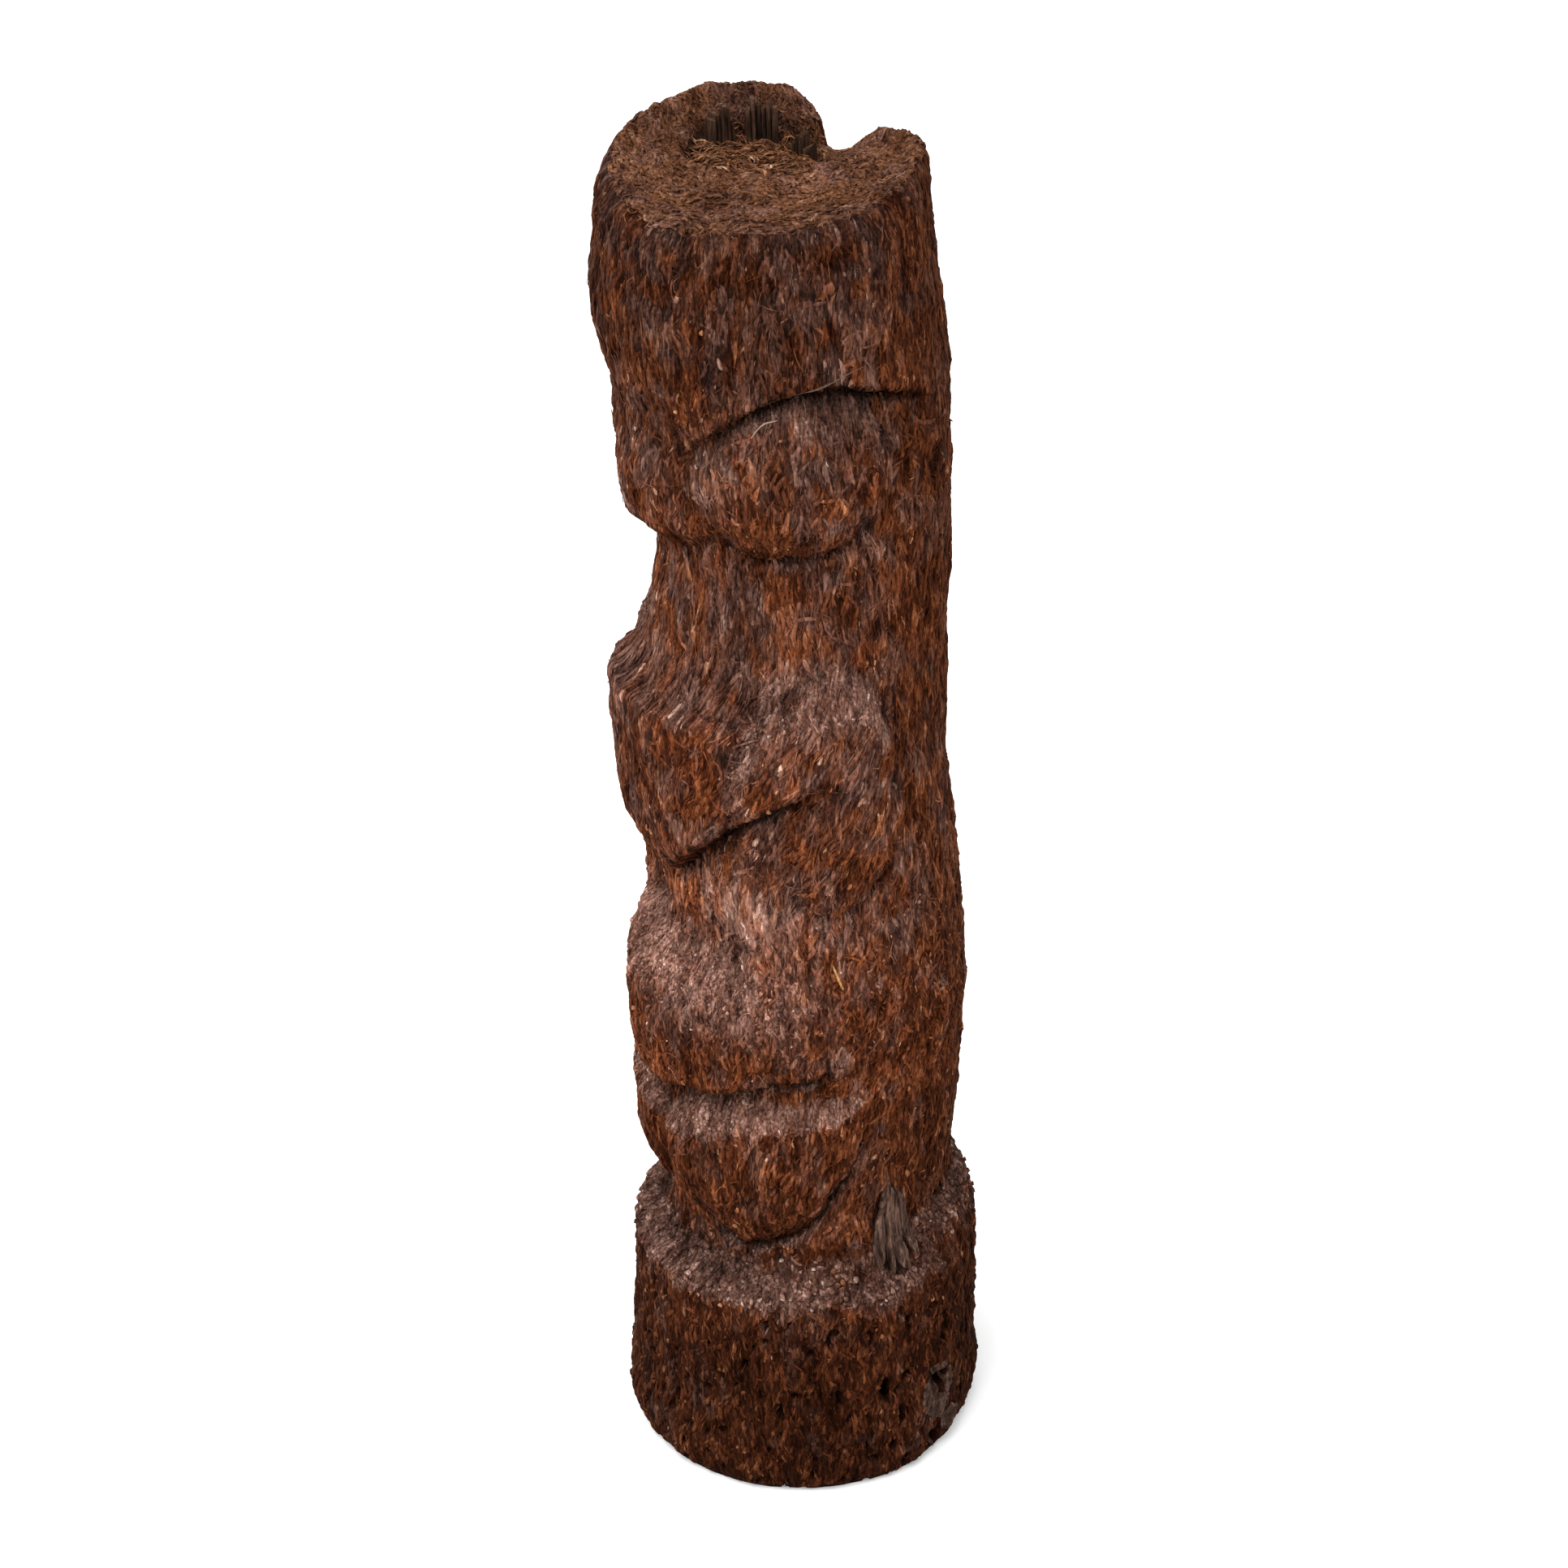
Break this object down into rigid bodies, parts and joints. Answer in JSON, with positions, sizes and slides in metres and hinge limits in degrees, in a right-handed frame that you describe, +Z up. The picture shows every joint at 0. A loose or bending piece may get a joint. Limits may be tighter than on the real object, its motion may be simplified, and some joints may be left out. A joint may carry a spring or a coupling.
{
  "type": "standing tiki figure",
  "caption": "Standing tiki figure carved from a tree-fern trunk, with headdress, bulging eyes, folded arms, round belly and bent legs on a plain drum base.",
  "frame": {"origin": "centre of the base block's flat bottom", "axes": "+Z up the trunk, the figure looks along -Y, its left hand side is +X"},
  "size_m": [0.15, 0.1491, 0.588],
  "materials": {
    "root_mantle": "dry matted fern roots, weathered red-brown with grey dust on upward faces",
    "stele_wood": "hard dark vascular wood, broken and weathered at the top",
    "pith": "soft rotted pith",
    "leaf_trace_wood": "grey grooved weathered wood",
    "pale_root": "pale dry root",
    "straw_root": "straw-coloured dry root"
  },
  "bodies": {
    "root": {"root_mantle": "root_mantle", "pith_core": "pith", "woody_plate_1": "stele_wood", "woody_plate_2": "stele_wood", "woody_plate_3": "stele_wood", "woody_plate_4": "stele_wood", "woody_plate_5": "stele_wood", "woody_plate_6": "stele_wood", "woody_plate_7": "stele_wood", "woody_plate_8": "stele_wood", "leaf_trace_upper": "leaf_trace_wood", "leaf_trace_lower": "leaf_trace_wood", "stray_root_brow": "pale_root", "stray_root_belly": "straw_root"}
  },
  "joints": []
}
